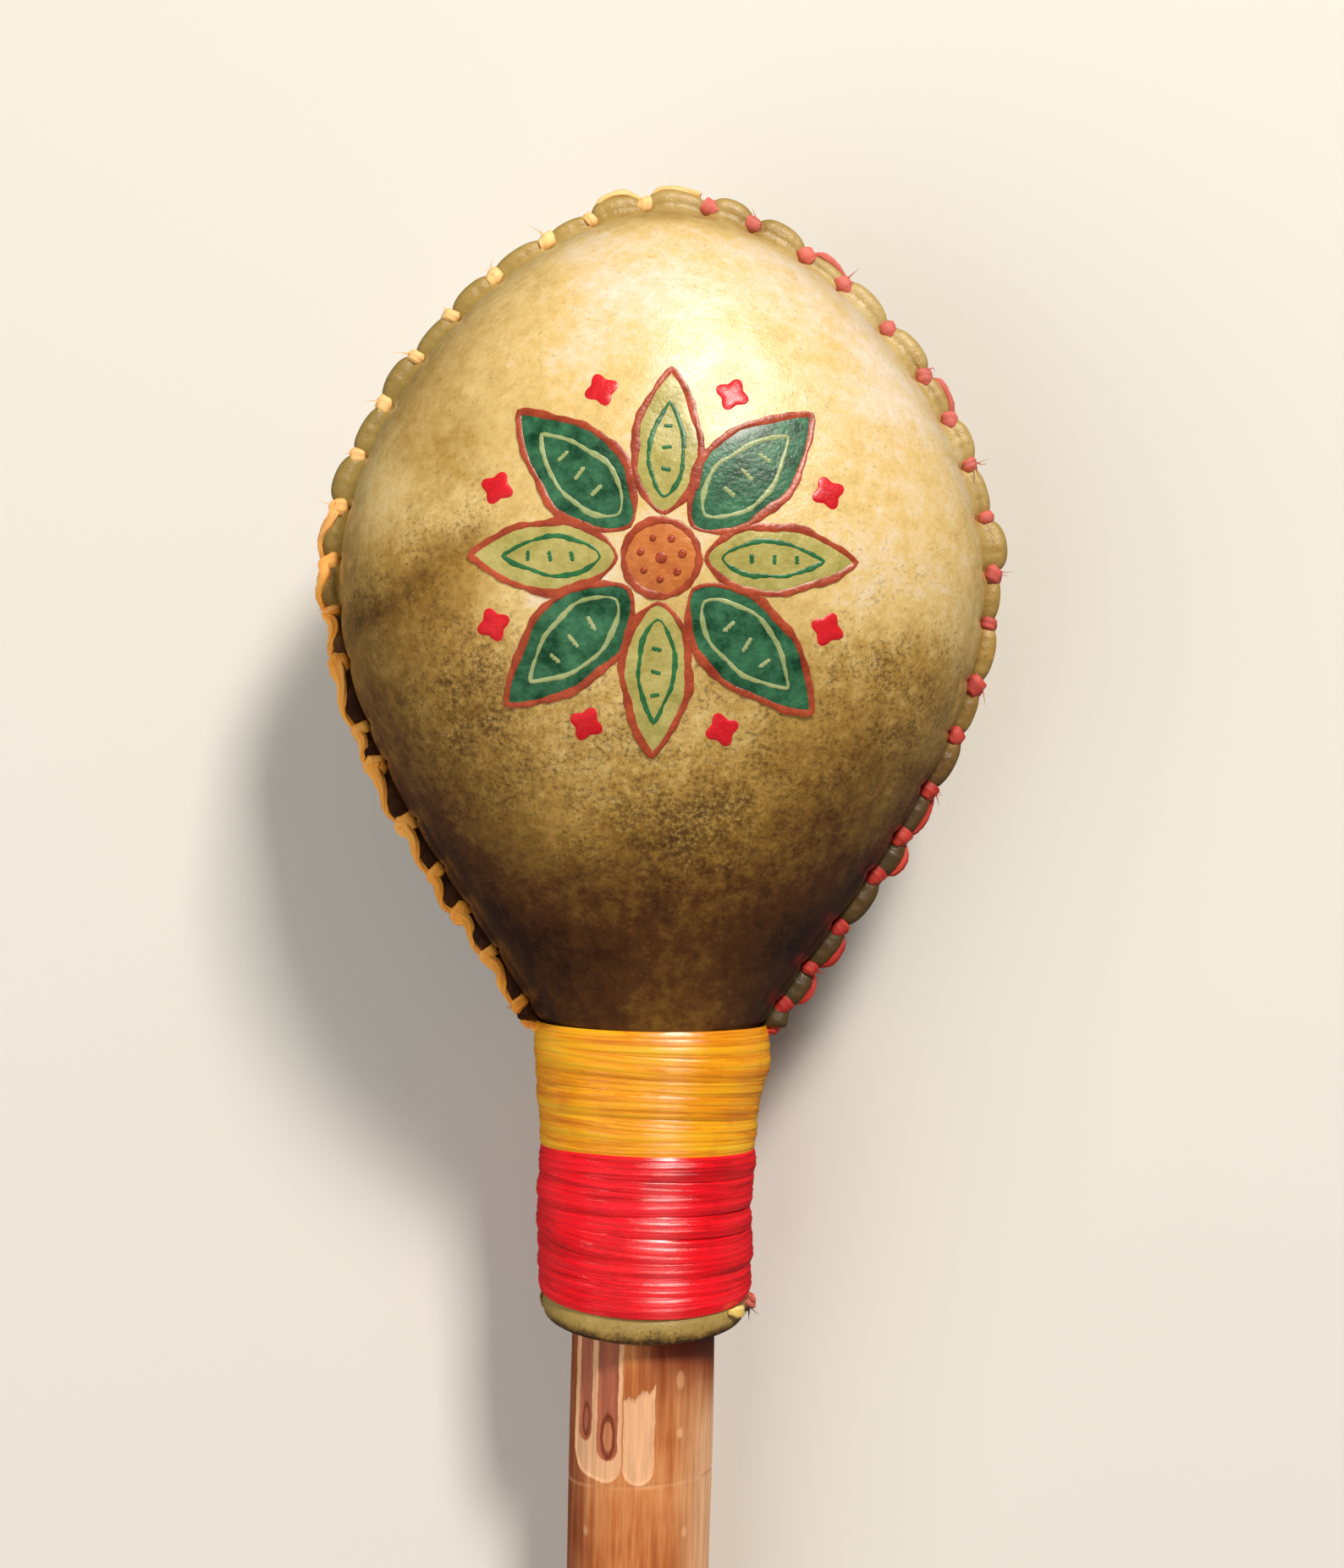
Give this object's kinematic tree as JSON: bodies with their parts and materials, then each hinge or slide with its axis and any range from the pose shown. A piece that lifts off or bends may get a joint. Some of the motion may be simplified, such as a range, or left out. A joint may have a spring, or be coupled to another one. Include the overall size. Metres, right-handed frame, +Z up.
{
  "type": "rawhide rattle",
  "caption": "Hand rattle: egg-shaped rawhide head of two sewn halves holding loose pebbles, bound by wound thread on to a round stick handle.",
  "frame": {"origin": "on the surface that the rattle lies on, under the middle of its bounding box", "axes": "+X to the right seen from the front face, +Y from the stick's tail to the crown, +Z up, out of the front face"},
  "size_m": [0.1116, 0.2953, 0.0785],
  "materials": {
    "rawhide": "semi-gloss, mottled",
    "yellow_thread": "waxed fibre",
    "red_thread": "waxed fibre",
    "stick_wood": "natural bark",
    "pebble": "river-worn"
  },
  "bodies": {
    "rattle": {"front_shell": "rawhide", "rear_shell": "rawhide", "yellow_stitching": "yellow_thread", "red_stitching": "red_thread", "yellow_binding": "yellow_thread", "red_binding": "red_thread", "yellow_thread_tail": "yellow_thread", "red_thread_knot": "red_thread", "handle": "stick_wood"},
    "pebble_01": {"pebble_01": "pebble"},
    "pebble_02": {"pebble_02": "pebble"},
    "pebble_03": {"pebble_03": "pebble"},
    "pebble_04": {"pebble_04": "pebble"},
    "pebble_05": {"pebble_05": "pebble"},
    "pebble_06": {"pebble_06": "pebble"},
    "pebble_07": {"pebble_07": "pebble"},
    "pebble_08": {"pebble_08": "pebble"},
    "pebble_09": {"pebble_09": "pebble"},
    "pebble_10": {"pebble_10": "pebble"},
    "pebble_11": {"pebble_11": "pebble"},
    "pebble_12": {"pebble_12": "pebble"}
  },
  "joints": [
    {"name": "pebble_01_flight", "type": "slide", "parent": "rattle", "child": "pebble_01", "axis": [0, -0.1197, 0.9928], "range_m": [0, 0.0621]},
    {"name": "pebble_02_flight", "type": "slide", "parent": "rattle", "child": "pebble_02", "axis": [0, -0.1197, 0.9928], "range_m": [0, 0.0658]},
    {"name": "pebble_03_flight", "type": "slide", "parent": "rattle", "child": "pebble_03", "axis": [0, -0.1197, 0.9928], "range_m": [0, 0.0666]},
    {"name": "pebble_04_flight", "type": "slide", "parent": "rattle", "child": "pebble_04", "axis": [0, -0.1197, 0.9928], "range_m": [0, 0.0643]},
    {"name": "pebble_05_flight", "type": "slide", "parent": "rattle", "child": "pebble_05", "axis": [0, -0.1197, 0.9928], "range_m": [0, 0.0625]},
    {"name": "pebble_06_flight", "type": "slide", "parent": "rattle", "child": "pebble_06", "axis": [0, -0.1197, 0.9928], "range_m": [0, 0.0652]},
    {"name": "pebble_07_flight", "type": "slide", "parent": "rattle", "child": "pebble_07", "axis": [0, -0.1197, 0.9928], "range_m": [0, 0.0642]},
    {"name": "pebble_08_flight", "type": "slide", "parent": "rattle", "child": "pebble_08", "axis": [0, -0.1197, 0.9928], "range_m": [0, 0.0602]},
    {"name": "pebble_09_flight", "type": "slide", "parent": "rattle", "child": "pebble_09", "axis": [0, -0.1197, 0.9928], "range_m": [0, 0.0564]},
    {"name": "pebble_10_flight", "type": "slide", "parent": "rattle", "child": "pebble_10", "axis": [0, -0.1197, 0.9928], "range_m": [0, 0.061]},
    {"name": "pebble_11_flight", "type": "slide", "parent": "rattle", "child": "pebble_11", "axis": [0, -0.1197, 0.9928], "range_m": [0, 0.0621]},
    {"name": "pebble_12_flight", "type": "slide", "parent": "rattle", "child": "pebble_12", "axis": [0, -0.1197, 0.9928], "range_m": [0, 0.0591]}
  ]
}
